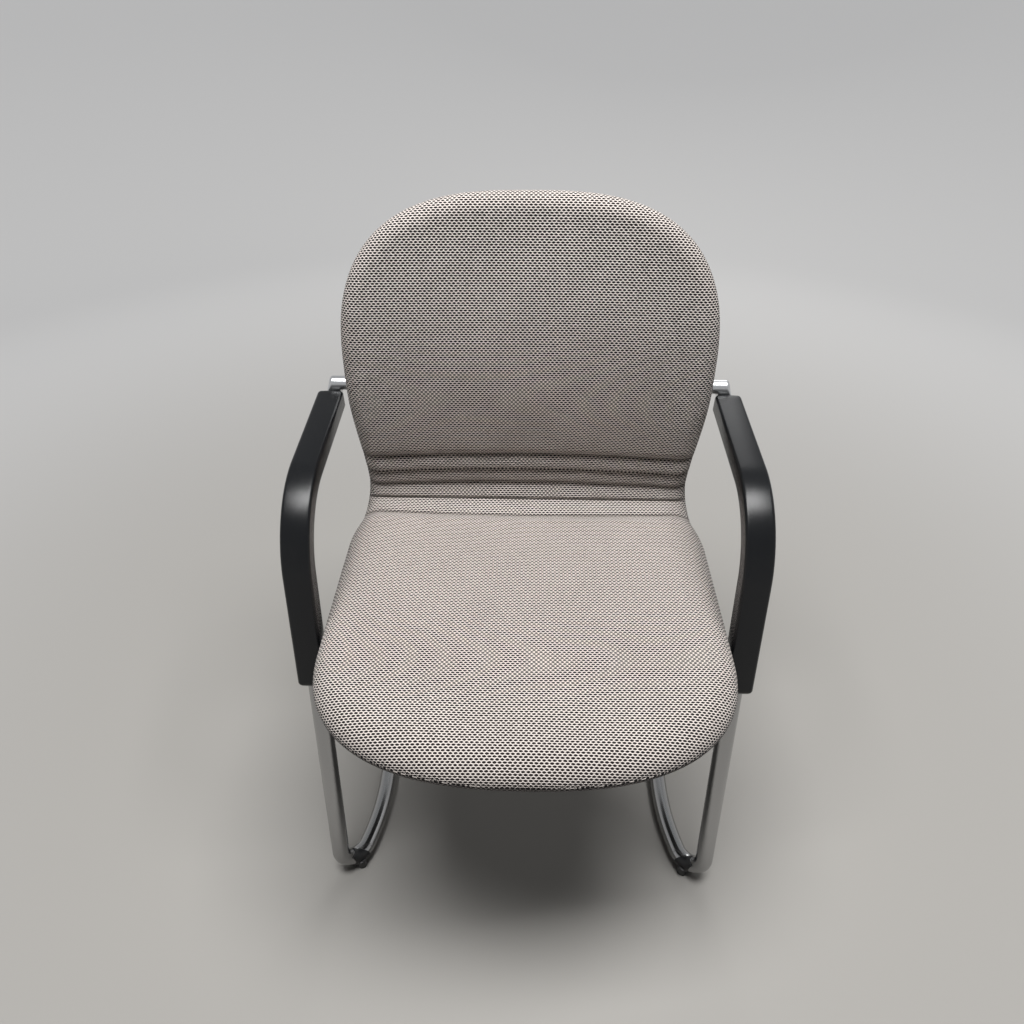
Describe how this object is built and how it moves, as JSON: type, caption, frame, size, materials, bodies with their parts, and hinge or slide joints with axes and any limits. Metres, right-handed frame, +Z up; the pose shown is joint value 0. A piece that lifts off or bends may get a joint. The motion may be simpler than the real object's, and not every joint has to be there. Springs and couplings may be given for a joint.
{
  "type": "cantilever chair",
  "caption": "Upholstered office chair on a cantilever frame of bent metal tube, with padded arms and a back that flexes at a ribbed fold.",
  "frame": {"origin": "on the floor, under the middle of the chair's width and overall depth", "axes": "+Z up, +Y towards the back of the chair, +X towards the sitter's left"},
  "size_m": [0.5896, 0.5903, 0.8962],
  "materials": {
    "satin_tube": "satin",
    "inner_steel": "satin",
    "black_steel": "satin",
    "black_plastic": "matte",
    "shell_plastic": "matte",
    "pad_plastic": "satin",
    "cast_metal": "satin",
    "web_rubber": "matte",
    "woven_cover": "matte"
  },
  "bodies": {
    "frame": {"side_tube_left": "satin_tube", "side_tube_right": "satin_tube", "base_tube": "satin_tube", "joint_sleeve_left": "inner_steel", "joint_sleeve_right": "inner_steel", "seat_beam": "satin_tube", "seat_bracket_left": "black_steel", "seat_bracket_right": "black_steel", "seat_spacers": "black_plastic", "seat_screws": "inner_steel", "seat_shell": "shell_plastic", "seat_cushion": "woven_cover", "arm_pad_left": "pad_plastic", "arm_pad_right": "pad_plastic", "arm_pad_screws": "inner_steel", "arm_elbow_left": "cast_metal", "arm_elbow_right": "cast_metal", "elbow_screws": "inner_steel", "front_glide_left": "black_plastic", "front_glide_right": "black_plastic", "rear_glide_left": "black_plastic", "rear_glide_right": "black_plastic", "fold_web": "web_rubber", "fold_cushion": "woven_cover"},
    "back": {"back_shell": "shell_plastic", "back_cushion": "woven_cover", "pivot_bush_left": "black_plastic", "pivot_bush_right": "black_plastic"}
  },
  "joints": [
    {"name": "recline", "type": "hinge", "parent": "frame", "child": "back", "pos_m": [0, 0.20161, 0.637], "axis": [-1, 0, 0], "range_deg": [-2, 8], "stiffness_Nm_per_rad": 300, "deforming": ["fold_web", "fold_cushion"]}
  ]
}
